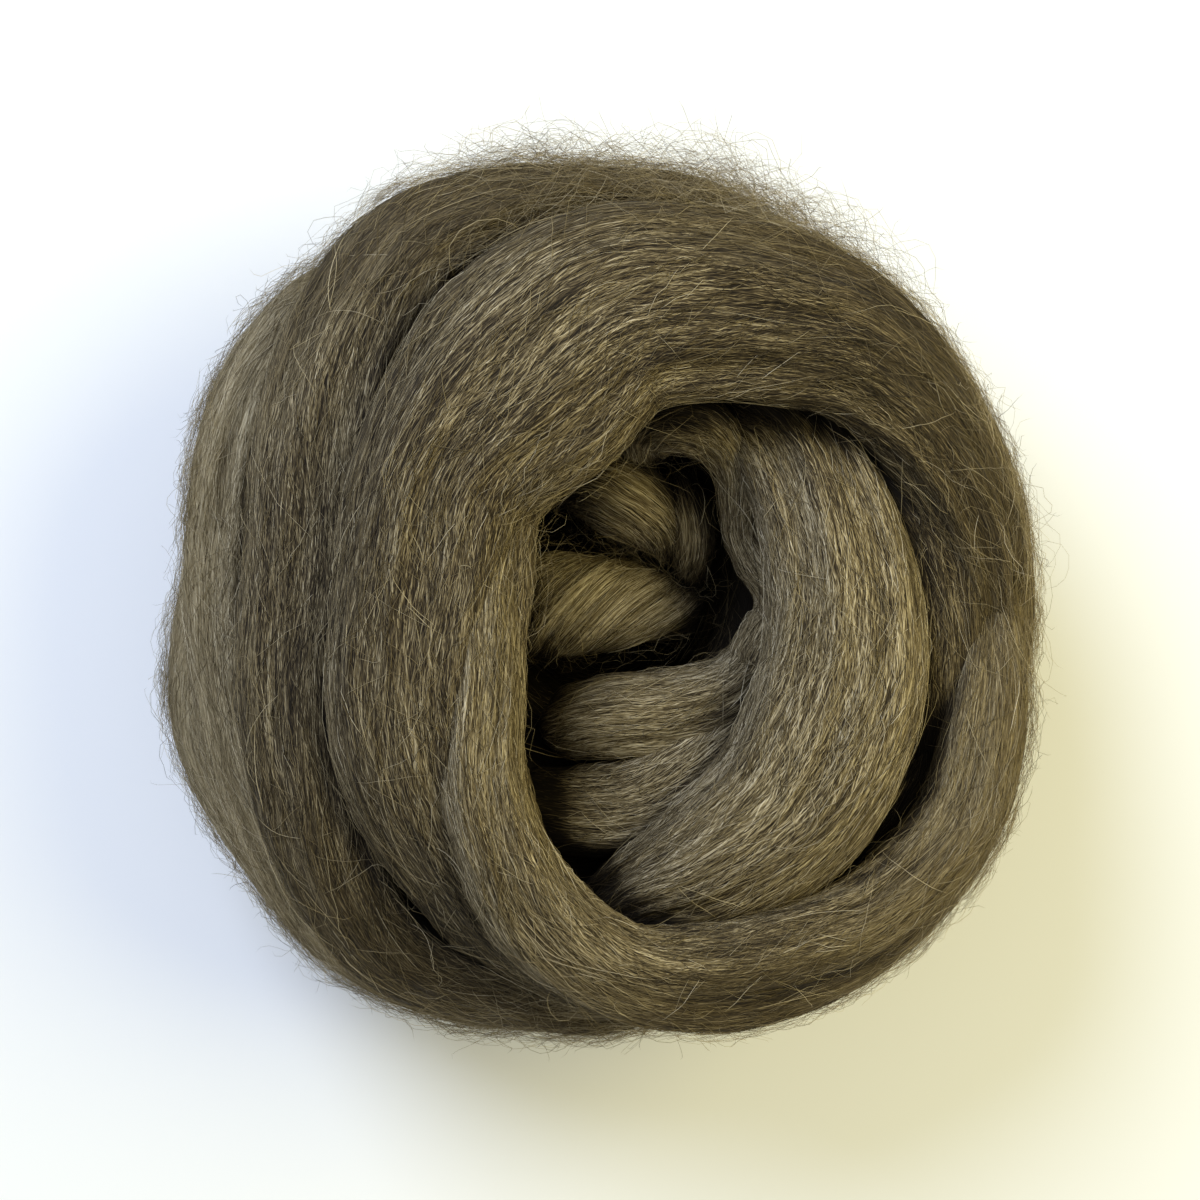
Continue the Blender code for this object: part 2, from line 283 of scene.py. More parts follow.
class Turn:
    """One turn or stretch of the top, ready to be read at any length along and angle round."""

    def __init__(self, name, rows, closed, random):
        self.closed = closed
        self.dress = DRESS[name]
        table = np.array(rows, float)
        table[:, 0] -= OUTLINE_MIDDLE[0]
        table[:, 1] -= OUTLINE_MIDDLE[1]
        route = self.smooth(table)
        steps = np.linalg.norm(np.diff(route[:, :3], axis=0), axis=1)
        travelled = np.concatenate(([0], np.cumsum(steps)))
        self.count = max(8, int(round(travelled[-1] / SECTION_STEP)))
        self.length = travelled[-1]
        self.step = self.length / self.count
        even = np.linspace(0, self.length, self.count + 1)
        route = np.column_stack([np.interp(even, travelled, column) for column in route.T])
        self.middle = route[:, :3]
        self.half_width = route[:, 3] / 2
        self.half_depth = route[:, 4] / 2
        self.face(np.radians(route[:, 5]))
        if not closed:
            self.thin_ends(even, TUCKED_ENDS.get(name, 1.0))
        self.girth = 2 * pi * np.sqrt((self.half_width**2 + self.half_depth**2).mean() / 2)
        self.sway = 2 * pi / (self.length if closed else SWAY_LENGTH)
        self.phase = random.uniform(0, 2 * pi)
        thin = min(1.0, self.girth / FULL_RELIEF_GIRTH)
        self.relief = sum(self.streaks(ridge, random) * ridge.share * thin for ridge in RIDGES)
        self.tint = sum(self.streaks(tone, random) * tone.share for tone in TONES)

    def smooth(self, table):
        """The rows read off finely along a curve through them."""
        count = len(table)
        spans = count if self.closed else count - 1
        t = np.linspace(0, 1, 12, endpoint=False)[:, None]
        pieces = []
        for k in range(spans):
            if self.closed:
                a, b, c, d = (table[(k + i) % count] for i in (-1, 0, 1, 2))
            else:
                a, b, c, d = (table[min(max(k + i, 0), count - 1)] for i in (-1, 0, 1, 2))
            bend = 2 * a - 5 * b + 4 * c - d
            turn = -a + 3 * b - 3 * c + d
            pieces.append(0.5 * (2 * b + (c - a) * t + bend * t**2 + turn * t**3))
        pieces.append(table[:1] if self.closed else table[-1:])
        return np.vstack(pieces)

    def face(self, lean):
        """The directions that the turn's broad side faces and spreads, leaning out from the middle."""
        if self.closed:
            ahead = np.roll(self.middle[:-1], -1, axis=0)
            behind = np.roll(self.middle[:-1], 1, axis=0)
            forward = unit(np.vstack([ahead - behind, (ahead - behind)[:1]]))
        else:
            forward = unit(np.gradient(self.middle, axis=0))
        centre = np.array([-OUTLINE_MIDDLE[0], -OUTLINE_MIDDLE[1], 0])
        outwards = unit((self.middle - centre) * (1, 1, 0))
        facing = np.cos(lean)[:, None] * (0, 0, 1) + np.sin(lean)[:, None] * outwards
        self.facing = unit(facing - forward * (facing * forward).sum(1, keepdims=True))
        self.across = np.cross(forward, self.facing)

    def thin_ends(self, even, half_depths):
        """Both ends drawn in to a rounded point over so many half depths."""
        from_end = np.minimum(even, self.length - even) / (half_depths * self.half_depth)
        swell = np.where(from_end >= 1, 1, np.sqrt(np.maximum(1 - (1 - from_end) ** 2, 0)))
        swell = np.maximum(swell, THINNEST_END)
        self.half_width = self.half_width * swell
        self.half_depth = self.half_depth * swell

    def streaks(self, streak, random):
        """Noise that is drawn out along the turn, with waves of the streak's breadth and length."""
        rows = self.count if self.closed else self.count * 2
        along = np.fft.fftfreq(rows, self.step)[:, None]
        around = np.abs(np.fft.fftfreq(RELIEF_COLUMNS, self.girth / RELIEF_COLUMNS))[None, :]
        noise = np.fft.fft2(random.standard_normal((rows, RELIEF_COLUMNS)))
        band = np.exp(-((np.log(np.maximum(around, 1e-6) * streak.across)) ** 2) / 0.25)
        band[:, 0] = 0
        field = np.fft.ifft2(noise * band * np.exp(-((along * streak.along) ** 2) / 2)).real
        return field / field.std()

    def twist(self, s):
        """How far the fibres have wound about the middle line by there."""
        rate = 0.0 if self.closed else self.dress.winding
        return rate * (s - self.length / 2) + SWAY_ANGLE * np.sin(self.sway * s + self.phase)

    def read(self, s, angle, lift=0.0):
        """Points, their normals and their tint, for angles that wind with the fibres."""
        place = np.mod(s / self.step, self.count) if self.closed else np.clip(s / self.step, 0, self.count)
        low = np.minimum(place.astype(int), self.count - 1)
        part = (place - low)[..., None]

        def between(values):
            return values[low] * (1 - part) + values[low + 1] * part

        turned = angle + self.twist(s)
        width = between(self.half_width[:, None])
        depth = between(self.half_depth[:, None])
        across, facing = between(self.across), between(self.facing)
        side, up = np.cos(turned)[..., None], np.sin(turned)[..., None]
        points = between(self.middle) + across * width * side + facing * depth * up
        normal = unit(across * side / width + facing * up / depth)

        column = np.mod(angle / (2 * pi) * RELIEF_COLUMNS, RELIEF_COLUMNS)
        left = column.astype(int) % RELIEF_COLUMNS
        right = (left + 1) % RELIEF_COLUMNS
        share, part = column - np.floor(column), part[..., 0]
        next_row = (low + 1) % len(self.relief)

        def looked_up(field):
            near = field[low, left] * (1 - share) + field[low, right] * share
            far = field[next_row, left] * (1 - share) + field[next_row, right] * share
            return near * (1 - part) + far * part

        height = looked_up(self.relief)
        small = np.minimum(1, depth[..., 0] / FULL_RELIEF_DEPTH)
        points = points + normal * (height * small + lift)[..., None]
        return points, normal, looked_up(self.tint)


def ring_rows(ring, count=16):
    rows = []
    for k in range(count):
        angle = 2 * pi * k / count
        high = 0.5 + 0.5 * np.cos(angle - radians(ring.tip_to))
        rows.append(
            Row(
                ring.mid_x + ring.radius_x * np.cos(angle),
                ring.mid_y + ring.radius_y * np.sin(angle),
                ring.height + ring.tip * (2 * high - 1),
                ring.width,
                ring.depth,
                ring.lean_low + (ring.lean_high - ring.lean_low) * high,
            )
        )
    return rows


def make_turns():
    random = np.random.default_rng(11)
    turns = [Turn(ring.name, ring_rows(ring), True, random) for ring in RINGS]
    turns += [Turn(name, rows, False, random) for name, rows in STRETCHES.items()]
    return turns


# How deep in the solid a place may lie, in millimetres, and still be taken as open: more on the low
# flank, where the tucked ends are thinner than the solid's
DEEPEST, DEEPEST_ON_FLANK = 3.5, 11.5
FLANK_TOP = 62
SKY_RAYS, SKY_REACH = 9, 15.0


class Surface:
    """The solid's surface, to tell what of a fibre shows and how open to the light a place is."""

    def __init__(self, node):
        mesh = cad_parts[node].data
        corners = [vertex.co.copy() for vertex in mesh.vertices]
        faces = [tuple(face.vertices) for face in mesh.polygons]
        self.tree = BVHTree.FromPolygons(corners, faces)
        golden = pi * (3 - 5**0.5)
        self.rays = []
        for k in range(SKY_RAYS):
            high = 1 - (k + 0.5) / SKY_RAYS * 0.8
            flat = (1 - high**2) ** 0.5
            self.rays.append((flat * np.cos(golden * k), flat * np.sin(golden * k), high))

    def nearest(self, points):
        """The nearest surface points, their normals, and how far outside each point lies, in mm."""
        spots = np.empty_like(points)
        normals = np.empty_like(points)
        for k, point in enumerate(points):
            spot, normal, _, _ = self.tree.find_nearest(Vector(point * MM))
            spots[k] = spot
            normals[k] = normal
        spots /= MM
        outside = ((points - spots) * normals).sum(1)
        return spots, normals, outside

    def openness(self, points):
        """How much of the sky each place sees, from 0 deep in a crease to 1 on an open flank."""
        spots, normals, outside = self.nearest(points)
        side = unit(np.cross(normals, (0.37, 0.61, 0.70)))
        other = np.cross(normals, side)
        free = np.zeros(len(points))
        flank = rim(points) * (points[:, 2] < FLANK_TOP)
        shallow = np.flatnonzero(-outside < DEEPEST + (DEEPEST_ON_FLANK - DEEPEST) * flank)
        ray_cast = self.tree.ray_cast
        starts = (spots + normals * 0.8) * MM
        for x, y, z in self.rays:
            heads = side * x + other * y + normals * z
            for k in shallow:
                if ray_cast(Vector(starts[k]), Vector(heads[k]), SKY_REACH * MM)[0] is None:
                    free[k] += 1 / SKY_RAYS
        sunk = np.clip(1 + (outside + 0.6) / 2.4, 0.1 + 0.75 * flank, 1)
        return eased(free * sunk, 0.15, 0.8)


def link_mesh(name, points, loops, sizes, maps, material):
    """A mesh object from arrays: points, each face's corners in turn, each face's size, and maps."""
    mesh = bpy.data.meshes.new(name)
    mesh.vertices.add(len(points))
    mesh.vertices.foreach_set("co", (points * MM).astype(np.float32).ravel())
    mesh.loops.add(len(loops))
    mesh.loops.foreach_set("vertex_index", loops.astype(np.int32))
    mesh.polygons.add(len(sizes))
    starts = np.concatenate(([0], np.cumsum(sizes)[:-1]))
    mesh.polygons.foreach_set("loop_start", starts.astype(np.int32))
    mesh.polygons.foreach_set("use_smooth", np.ones(len(sizes), bool))
    for map_name, uvs in maps.items():
        layer = mesh.uv_layers.new(name=map_name)
        layer.data.foreach_set("uv", uvs.astype(np.float32).ravel())
    mesh.update(calc_edges=True)
    mesh.validate()
    mesh.materials.append(material)
    piece = bpy.data.objects.new(name, mesh)
    bpy.context.scene.collection.objects.link(piece)
    return piece


SKIN_STRETCH = 2.6  # how much longer the faces of a skin are than they are wide
FAN_ON_MAP = 0.006  # how much of the map's length the fan that closes an end takes


def turn_surface(turn):
    """A closed skin for one turn: points, corners, face sizes, and where each corner lies on it."""
    pitch = turn.dress.pitch
    sides = max(20, int(turn.girth / pitch))
    rows = max(6, int(turn.length / (pitch * SKIN_STRETCH) * (1 + 12 * abs(turn.dress.winding))))
    angles = np.arange(sides) / sides * 2 * pi - pi / 2
    lengths = np.linspace(0, turn.length, rows, endpoint=not turn.closed)
    s, angle = np.meshgrid(lengths, angles, indexing="ij")
    points, normal, tint = turn.read(s, angle)
    points, tint = points.reshape(-1, 3), tint.ravel()
    points = sunk_at_rim(points, normal.reshape(-1, 3))
    spans = rows if turn.closed else rows - 1
    i, k = (grid.ravel() for grid in np.meshgrid(np.arange(spans), np.arange(sides), indexing="ij"))
    i_next, k_next = (i + 1) % rows, (k + 1) % sides
    loops = np.stack(
        [i * sides + k, i * sides + k_next, i_next * sides + k_next, i_next * sides + k], axis=1
    )
    loops = loops[:, ::-1]
    along = np.stack([i, i, i + 1, i + 1], axis=1)[:, ::-1] / spans
    round_it = np.stack([k, k + 1, k + 1, k], axis=1)[:, ::-1] / sides
    loops, along, round_it = loops.ravel(), along.ravel(), round_it.ravel()
    sizes = np.full(len(i), 4)
    if not turn.closed:
        first = len(points)
        points = np.vstack([points, turn.middle[:1], turn.middle[-1:]])
        tint = np.append(tint, (0, 0))
        near = np.arange(sides)
        far = (near + 1) % sides
        at = (near + 0.5) / sides
        low, high = near / sides, (near + 1) / sides
        last_row = (rows - 1) * sides
        ends = (
            (near, far, low, high, 0.0, FAN_ON_MAP),
            (far + last_row, near + last_row, high, low, 1.0, -FAN_ON_MAP),
        )
        for pole, (one, other, start, stop, place, tip) in enumerate(ends, first):
            fan = np.stack([one, other, np.full(sides, pole)], axis=1)
            loops = np.concatenate([loops, fan.ravel()])
            along = np.concatenate([along, np.tile([place + tip, place + tip, place], sides)])
            round_it = np.concatenate([round_it, np.stack([start, stop, at], axis=1).ravel()])
            sizes = np.concatenate([sizes, np.full(sides, 3)])
    return points, loops, sizes, along, round_it, tint


def make_skins(turns, surface, material):
    """The turns' skins, joined into a few pieces, with a flow map in metres along and round."""
    pieces = []
    random = np.random.default_rng(5)
    for name in dict.fromkeys(dress.piece for dress in DRESS.values()):
        members = [turn for turn in turns if turn.dress.piece == name]
        total_girth = sum(turn.girth for turn in members) * 1.02
        points, loops, sizes, flow, own, tone = [], [], [], [], [], []
        first, band = 0, 0.0
        for turn in members:
            skin, corners, faces, along, round_it, tint = turn_surface(turn)
            points.append(skin)
            loops.append(corners + first)
            sizes.append(faces)
            first += len(skin)
            shift = random.uniform(0, 5, 2)
            metres = np.column_stack([along * turn.length * MM, round_it * turn.girth * MM])
            flow.append(metres + shift)
            share = turn.girth / total_girth
            own.append(np.column_stack([0.002 + along * 0.996, band + round_it * share]))
            # The skin's tone: the turn's tone and tint, plus the patches' painted light and shade
            tone.append(turn.dress.tone + TINT_SHARE * tint + patch_light_and_shade(skin))
            band += share + 0.018 / len(members)
        points = np.vstack(points)
        points[:, 2] = np.maximum(points[:, 2], SKIN_LOWEST)
        piece = link_mesh(
            name,
            points,
            np.concatenate(loops),
            np.concatenate(sizes),
            {"OFBake": np.vstack(own), "flow": np.vstack(flow)},
            material,
        )
        # The openness stored here darkens the skin's colour in its material: painted shade in creases and
        # hollows
        openness = surface.openness(points)
        grain = 1 - 0.45 * rim(points)
        marks = {"openness": openness, "tone": np.concatenate(tone), "grain": grain}
        for label, values in marks.items():
            layer = piece.data.attributes.new(label, "FLOAT", "POINT")
            layer.data.foreach_set("value", values.astype(np.float32))
        pieces.append(piece)
    return pieces


MAP_RANGE, MAP_LOWEST, MAP_ROW = 0.97, 0.005, 0.006  # a fibre's rows on the map give its shade


def make_fibres(name, paths, normals, radius, shade, material):
    """Thin closed three-sided fibres with pointed ends, joined into one piece."""
    count, stations = paths.shape[:2]
    paths[..., 2] = np.maximum(paths[..., 2], FIBRE_LOWEST)
    ahead = unit(np.gradient(paths, axis=1))
    side = unit(np.cross(ahead, normals))
    up = np.cross(side, ahead)
    inner = slice(1, stations - 1)
    rings = []
    for k in range(3):
        turned = 2 * pi * k / 3 + pi / 2
        offset = up[:, inner] * np.sin(turned) + side[:, inner] * np.cos(turned)
        rings.append(paths[:, inner] + offset * radius[:, inner, None])
    rings = np.stack(rings, axis=2).reshape(count, -1, 3)
    points = np.concatenate([paths[:, :1], rings, paths[:, -1:]], axis=1)
    per = points.shape[1]

    corners, sizes, along, around = [], [], [], []
    last = stations - 1
    for k in range(3):
        j = (k + 1) % 3
        corners += [0, 1 + k, 1 + j]
        along += [0, 1, 1]
        around += [k + 0.5, k, k + 1]
        sizes.append(3)
    for i in range(stations - 3):
        for k in range(3):
            j = (k + 1) % 3
            a, b = 1 + 3 * i, 4 + 3 * i
            corners += [a + j, a + k, b + k, b + j]
            along += [i + 1, i + 1, i + 2, i + 2]
            around += [k + 1, k, k, k + 1]
            sizes.append(4)
    for k in range(3):
        j = (k + 1) % 3
        b = 1 + 3 * (stations - 3)
        corners += [b + j, b + k, per - 1]
        along += [last - 1, last - 1, last]
        around += [k + 1, k, k + 0.5]
        sizes.append(3)
    starts = np.arange(count)[:, None] * per
    loops = (starts + np.array(corners)[None, :]).ravel()
    u = np.tile(np.array(along) / last, count)
    rows = np.clip(shade, 0, 1)[:, None] * MAP_RANGE + MAP_LOWEST + MAP_ROW * np.array(around)[None, :]
    maps = {"OFBake": np.column_stack([u, rows.ravel()])}
    return link_mesh(name, points.reshape(-1, 3), loops, np.tile(sizes, count), maps, material)


def pick_spots(turns, surface, density, random):
    """Random places where a turn's own surface shows: turn, length along, angle round."""
    found = []
    for index, turn in enumerate(turns):
        tries = int(turn.length * turn.girth / 100 * turn.dress.cover * density)
        s = random.uniform(0, turn.length, tries)
        angle = random.uniform(0, 2 * pi, tries)
        points, normals, _ = turn.read(s, angle, 0.3)
        outside = surface.nearest(points)[2]
        upward = np.clip(normals[:, 2] * 1.1 + 0.8, 0.35, 1)
        seen = (outside > -1.2) & (random.uniform(0, 1, tries) < upward)
        found += [(index, s[k], angle[k]) for k in np.flatnonzero(seen)]
    random.shuffle(found)
    return found


# Soft places painted lighter or darker than their turn: painted shade where a turn faces away from the
# light or lies in shadow, painted light where it faces the light: middle, radius and change
Patch = namedtuple("Patch", "x y radius change")
LIGHT_AND_SHADE_PATCHES = (
    Patch(44, 46, 24, -0.14),
    Patch(66, 20, 16, -0.07),
    Patch(-20, -24, 14, 0.05),
    Patch(-4, 50, 18, 0.05),
    Patch(-33, -60, 14, -0.12),
    Patch(26, -70, 18, -0.13),
    Patch(66, -36, 14, 0.05),
    Patch(-58, 40, 18, 0.08),
)
TINT_SHARE = 0.04
RIM_STARTS, RIM_ENDS = 60, 78  # how far out from the middle, in millimetres
RIM_INSET = 0.8  # how far the skin lies below the haze at the rim, in millimetres


def rim(points):
    """How far out a place lies towards the hazy rim: 0 on the top of the ball, 1 at its edge."""
    return eased(np.hypot(points[..., 0], points[..., 1]), RIM_STARTS, RIM_ENDS)


def sunk_at_rim(points, normals):
    return points - normals * rim(points)[..., None] * RIM_INSET


def patch_light_and_shade(points):
    tone = np.zeros(len(points))
    for patch in LIGHT_AND_SHADE_PATCHES:
        apart = np.hypot(points[:, 0] - patch.x, points[:, 1] - patch.y)
        tone += patch.change * np.exp(-((apart / patch.radius) ** 2))
    return tone


# A sort of laid fibre: stations along it, how many, its length and how much that varies, how thick,
# how far it slants off its turn, how strongly it crimps and how high it stands, in mm and radians
Sort = namedtuple("Sort", "stations count length spread radius slant crimp rise")
SHORT = Sort(6, 14500, 8.0, 0.35, 0.045, 0.26, 0.2, 0.42)
LONG = Sort(12, 1900, 24.0, 0.3, 0.042, 0.14, 0.28, 0.5)
SPOTS_FOR_EACH = 0.0019  # spots tried on 100 square millimetres, for each fibre that is wanted
LAID_SHADE, LAID_SHADE_SPREAD = 0.58, 0.23
WILD_SHARE, WILD_SLANT, STEEPEST = 0.12, 0.6, 1.1  # the fibres that lie across the others
DRIFT_ANGLE, DRIFT_LENGTH = 0.16, 63  # how the fibres lean together, one way and then the other
BEND = 0.011  # how fast a fibre bends away to one side, for each millimetre
CRIMP_WAVE = (3.8, 7.5)  # the shortest and longest crimp, in millimetres
SINK = 0.15  # how deep in the skin a fibre's ends lie
THICKNESSES, THICKNESS_ODDS = (0.72, 1.0, 1.35), (0.35, 0.45, 0.2)


def lay_on_turn(turn, s0, angle0, sort, random):
    """Paths, normals, radii and shades of the fibres of one turn, whose middles are given."""
    own = len(s0)
    coarse = turn.dress.coarse
    steps = np.linspace(-0.5, 0.5, sort.stations)
    length = sort.length * coarse * np.exp(random.normal(0, sort.spread, own))
    length = np.minimum(length, turn.length * 0.7)
    s = s0[:, None] + length[:, None] * steps[None, :]
    if not turn.closed:
        s = np.clip(s, 0.5, turn.length - 0.5)
    lean = DRIFT_ANGLE * np.sin(2 * pi * s0 / DRIFT_LENGTH + 3 * angle0 + turn.phase)
    lean += sort.slant * random.standard_normal(own)
    wild = random.uniform(0, 1, own) < WILD_SHARE
    lean = np.where(wild, random.normal(0, WILD_SLANT, own), lean)
    bend = random.normal(0, BEND, (own, 1))
    run = s - s0[:, None]
    drift = np.tan(np.clip(lean, -STEEPEST, STEEPEST))[:, None] * run + bend * run**2
    wave = random.uniform(*CRIMP_WAVE, (own, 1))
    phase = random.uniform(0, 2 * pi, (own, 1))
    size = sort.crimp * random.gamma(3, 0.33, (own, 1))
    drift = drift + size * np.sin(2 * pi * run / wave + phase)
    angle = angle0[:, None] + drift / (turn.girth / (2 * pi))
    arch = np.cos(pi * steps)[None, :]
    top = random.uniform(0.05, sort.rise, (own, 1))
    ripple = 0.5 * size * np.cos(2 * pi * run / wave + phase)
    lift = (top + SINK + ripple) * arch - SINK
    points, normals, _ = turn.read(s, angle, lift)
    points = sunk_at_rim(points, normals)
    thick = sort.radius * coarse * random.choice(THICKNESSES, (own, 1), p=THICKNESS_ODDS)
    shade = LAID_SHADE + turn.dress.tone + TINT_SHARE * turn.read(s0, angle0)[2]
    # Painted light and shade from the patches
    shade += patch_light_and_shade(points[:, sort.stations // 2])
    shade += random.normal(0, LAID_SHADE_SPREAD, own) * (1 - 0.35 * rim(points[:, 0]))
    return points, normals, thick * np.clip(arch * 1.7, 0.3, 1), shade


def laid_fibres(turns, surface, sort, share, random):
    """Paths of fibres that follow their turn, crimped, each rising out of the skin and sinking in."""
    density = SPOTS_FOR_EACH * sort.count * (share + 0.15)
    spots = pick_spots(turns, surface, density, random)[: int(sort.count * share)]
    laid = []
    for index, turn in enumerate(turns):
        mine = [spot[1:] for spot in spots if spot[0] == index]
        if mine:
            laid.append(lay_on_turn(turn, *np.array(mine).T, sort, random))
    paths, normals, radius, shade = (np.concatenate(parts) for parts in zip(*laid))
    open_to_light = surface.openness(paths[:, sort.stations // 2])
    # Painted shade: fibres in creases and hollows, where the openness is low, are made darker
    shade = shade * (0.12 + 0.88 * open_to_light)
    return paths, normals, radius, np.clip(shade, 0.0, 1.0)


STRAY_COUNT, STRAY_STATIONS, STRAY_STEP = 1200, 12, 1.7
STRAY_SWING = 0.42  # how far a stray fibre sets off from its turn, in radians
STRAY_RADII, STRAY_ODDS = (0.036, 0.045, 0.06), (0.4, 0.4, 0.2)
STRAY_SHADE, STRAY_SHADE_SPREAD = 0.64, 0.16
CLEAR = 0.2  # the least height of a stray fibre over the solid


def stray_fibres(turns, surface, share, random):
    """Paths that set off at a slant and run over whatever turns they meet, bridging the creases."""
    spots = pick_spots(turns, surface, 4.5 * share, random)[: int(STRAY_COUNT * share)]
    count = len(spots)
    starts, heads = np.empty((count, 3)), np.empty((count, 3))
    for k, (index, s, angle) in enumerate(spots):
        way = 1 if random.uniform() < 0.5 else -1
        ends = turns[index].read(np.array([s, s + way * 1.0]), np.array([angle, angle]), 0.3)[0]
        starts[k] = ends[0]
        heads[k] = ends[1] - ends[0]
    heads = unit(heads)
    swing = random.normal(0, STRAY_SWING, count)
    lifts = random.uniform(0.15, 0.6, count)
    points, normals, _ = surface.nearest(starts)
    points = points + normals * lifts[:, None]
    side = np.cross(normals, heads)
    heads = unit(heads * np.cos(swing)[:, None] + side * np.sin(swing)[:, None])
    track, tops = [points], [normals]
    curve = random.normal(0, 0.05, count)
    crimp = random.gamma(3, 0.17, count)
    phase = random.uniform(0, 2 * pi, count)
    for k in range(1, STRAY_STATIONS):
        side = np.cross(normals, heads)
        turn_by = curve + crimp * np.cos(1.9 * k + phase)
        heads = unit(heads + side * turn_by[:, None])
        points = points + heads * STRAY_STEP
        spot, normals, _ = surface.nearest(points)
        points = spot + normals * lifts[:, None]
        heads = unit(heads - normals * (heads * normals).sum(1, keepdims=True))
        track.append(points)
        tops.append(normals)
    paths, normals = np.stack(track, axis=1), np.stack(tops, axis=1)
    for _ in range(2):
        paths[:, 1:-1] = 0.6 * paths[:, 1:-1] + 0.2 * (paths[:, :-2] + paths[:, 2:])
        flat = paths.reshape(-1, 3)
        spot, up, outside = surface.nearest(flat)
        low = outside < CLEAR
        flat[low] = spot[low] + up[low] * CLEAR
        paths = flat.reshape(paths.shape)
    steps = np.linspace(0, 1, STRAY_STATIONS)
    taper = np.clip(np.sin(pi * steps) * 3, 0.3, 1)[None, :]
    radius = random.choice(STRAY_RADII, (count, 1), p=STRAY_ODDS) * taper
    open_to_light = surface.openness(paths[:, STRAY_STATIONS // 2])
    # Painted shade: stray fibres in creases and hollows, where the openness is low, are made darker
    shade = random.normal(STRAY_SHADE, STRAY_SHADE_SPREAD, count) * (0.15 + 0.85 * open_to_light)
    return paths, normals, radius, np.clip(shade, 0, 1)


# Where the halo stands out from the rim, seen from above: direction in degrees from +X, how wide,
# how many hairs, and how far they stand out in millimetres
Tuft = namedtuple("Tuft", "towards spread hairs reach")
TUFTS = (
    Tuft(97, 11, 760, 4.6),
    Tuft(69, 13, 1150, 6.0),
    Tuft(120, 14, 200, 3.0),
    Tuft(8, 16, 150, 4.0),
    Tuft(35, 16, 150, 2.5),
    Tuft(180, 22, 200, 2.2),
    Tuft(222, 16, 150, 2.6),
    Tuft(262, 16, 170, 2.6),
    Tuft(315, 20, 100, 1.8),
)
HALO_STATIONS, HALO_STARTS = 8, 62  # the tufts grow beyond this distance from the middle
HALO_HEIGHT, HALO_BAND = 52, 22  # the height that the tufts grow at, and how far above and below
OPEN_HAIRS, OPEN_REACH = 600, 0.9  # hairs anywhere on the ball
WISPS, WISP_REACH = 700, 2.6  # hairs that hang across the dark hollow
Hollow = namedtuple("Hollow", "x y half_width half_length")
HOLLOW = Hollow(2, 10, 18, 20)
LOWEST_ROOT = 20  # hairs of the halo and wisps start above this height
FUZZ_HAIRS, FUZZ_STATIONS = 5200, 6
SECTOR = 5  # degrees; the fuzz grows on the outermost places of each sector
FUZZ_DEPTH = 2.2  # how far in from those it still grows
HAIR_SINK, HAIR_DEEPEST = 0.3, 0.4  # how deep a hair's root lies, and the deepest that it may dip
HAIR_RADII, HAIR_ODDS = (0.022, 0.028, 0.038), (0.4, 0.4, 0.2)
HAIR_SHADE, HAIR_SHADE_SPREAD = 0.60, 0.16


def rim_spots(turns, surface, share, random):
    """Places for hairs, where each lies, and its direction in degrees seen from above."""
    spots = pick_spots(turns, surface, 12 * (0.4 + 0.6 * share), random)
    roots = [turns[index].read(np.array([s]), np.array([angle]))[0][0] for index, s, angle in spots]
    roots = np.array(roots)
    return spots, roots, np.degrees(np.arctan2(roots[:, 1], roots[:, 0]))


def halo_choice(places, share, random):
    """Which of the places grow long curling hairs, and how far those stand out."""
    spots, roots, bearing = places
    chosen = [(k, OPEN_REACH) for k in range(min(len(spots), int(OPEN_HAIRS * share)))]
    across = (roots[:, 0] - HOLLOW.x) / HOLLOW.half_width
    lengthwise = (roots[:, 1] - HOLLOW.y) / HOLLOW.half_length
    weight = np.exp(-(across**4) - lengthwise**4) * (roots[:, 2] > LOWEST_ROOT)
    picks = random.choice(len(spots), int(WISPS * share), p=weight / weight.sum())
    chosen += [(k, WISP_REACH) for k in picks]
    out = np.hypot(roots[:, 0], roots[:, 1])
    rim_share = (out > HALO_STARTS) * (roots[:, 2] > LOWEST_ROOT)
    rim_share = rim_share * np.exp(-(((roots[:, 2] - HALO_HEIGHT) / HALO_BAND) ** 2))
    for tuft in TUFTS:
        apart = (bearing - tuft.towards + 180) % 360 - 180
        weight = np.exp(-((apart / tuft.spread) ** 2)) * rim_share
        picks = random.choice(len(spots), int(tuft.hairs * share), p=weight / weight.sum())
        chosen += [(k, tuft.reach) for k in picks]
    return chosen


def fuzz_choice(places, share, random):
    """Which of the places grow short fuzz: the outermost ones in each direction."""
    roots, bearing = places[1:]
    sector = ((bearing + 180) // SECTOR).astype(int)
    out = np.hypot(roots[:, 0], roots[:, 1])
    farthest = np.zeros(len(roots))
    for k in np.unique(sector):
        farthest[sector == k] = np.percentile(out[sector == k], 99)
    weight = np.exp(-(((farthest - out) / FUZZ_DEPTH) ** 2))
    picks = random.choice(len(roots), int(FUZZ_HAIRS * share), p=weight / weight.sum())
    return [(k, random.uniform(0.5, 1.4)) for k in picks]


